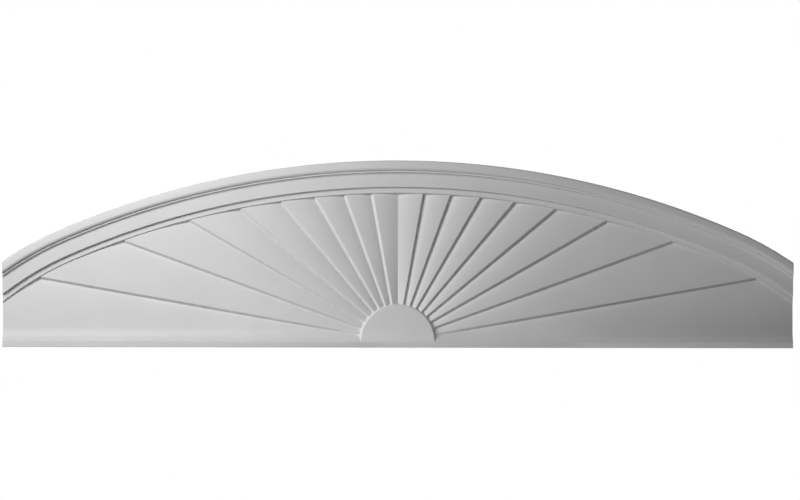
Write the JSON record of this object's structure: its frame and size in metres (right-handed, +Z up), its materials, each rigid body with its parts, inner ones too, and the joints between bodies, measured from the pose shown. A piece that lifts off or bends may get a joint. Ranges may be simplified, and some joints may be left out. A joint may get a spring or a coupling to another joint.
{
  "type": "segmental arch sunburst pediment",
  "caption": "Low segmental arch pediment with a moulded rim round a sunburst of overlapping rays that spring from a half-round boss, cut square at both ends, primed foam.",
  "frame": {"origin": "on the flat underside, half way along the length and half way through the whole projection from the wall face to the front of the rim", "axes": "+X along the length, +Y from the ornamented front towards the wall, +Z up"},
  "size_m": [1.524, 0.0636, 0.3605],
  "materials": {
    "primed_foam": "satin off-white factory primer over rigid polyurethane foam"
  },
  "bodies": {
    "root": {"sunburst_pediment": "primed_foam"}
  },
  "joints": []
}
